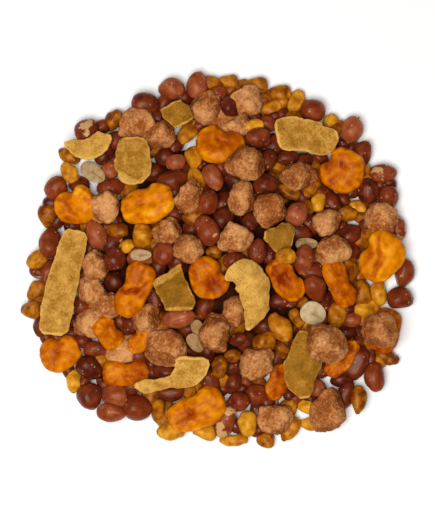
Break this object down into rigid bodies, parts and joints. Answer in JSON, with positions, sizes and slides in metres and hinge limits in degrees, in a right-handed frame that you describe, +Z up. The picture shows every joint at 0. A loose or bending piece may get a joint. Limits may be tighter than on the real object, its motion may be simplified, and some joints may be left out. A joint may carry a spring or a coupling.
{
  "type": "heap of savoury snack mix",
  "caption": "Loose heap of mixed peanuts, toasted corn kernels, fried orange beans and corn chips, as poured on a table.",
  "frame": {"origin": "on the resting surface, under the middle of the heap", "axes": "+Z up, -Y towards the near side in the plan view, +X to the right"},
  "size_m": [0.1772, 0.17, 0.0322],
  "materials": {
    "nuts": "skin-on and sugared peanuts and toasted corn, satin to sugary",
    "orange_bean": "fried and seasoned, oily gloss",
    "corn_chip": "fried masa, grainy and matt",
    "sugared_peanut": "pebbly sugar crust",
    "corn_kernel": "toasted, satin"
  },
  "bodies": {
    "root": {"corn_chip_folded": "corn_chip", "corn_chip_half_moon": "corn_chip", "corn_chip_horn": "corn_chip", "corn_chip_long_strip": "corn_chip", "corn_chip_rolled": "corn_chip", "corn_chip_scoop": "corn_chip", "corn_chip_shield": "corn_chip", "corn_chip_small_square": "corn_chip", "corn_chip_wedge": "corn_chip", "corn_chip_wide": "corn_chip", "corn_kernel_01": "corn_kernel", "nut_mix": "nuts", "orange_bean_01": "orange_bean", "orange_bean_02": "orange_bean", "orange_bean_03": "orange_bean", "orange_bean_04": "orange_bean", "orange_bean_05": "orange_bean", "orange_bean_06": "orange_bean", "orange_bean_07": "orange_bean", "orange_bean_08": "orange_bean", "orange_bean_09": "orange_bean", "orange_bean_10": "orange_bean", "orange_bean_11": "orange_bean", "orange_bean_12": "orange_bean", "orange_bean_13": "orange_bean", "orange_bean_14": "orange_bean", "orange_bean_15": "orange_bean", "orange_bean_16": "orange_bean", "orange_bean_17": "orange_bean", "sugared_peanut_01": "sugared_peanut", "sugared_peanut_02": "sugared_peanut", "sugared_peanut_03": "sugared_peanut"}
  },
  "joints": []
}
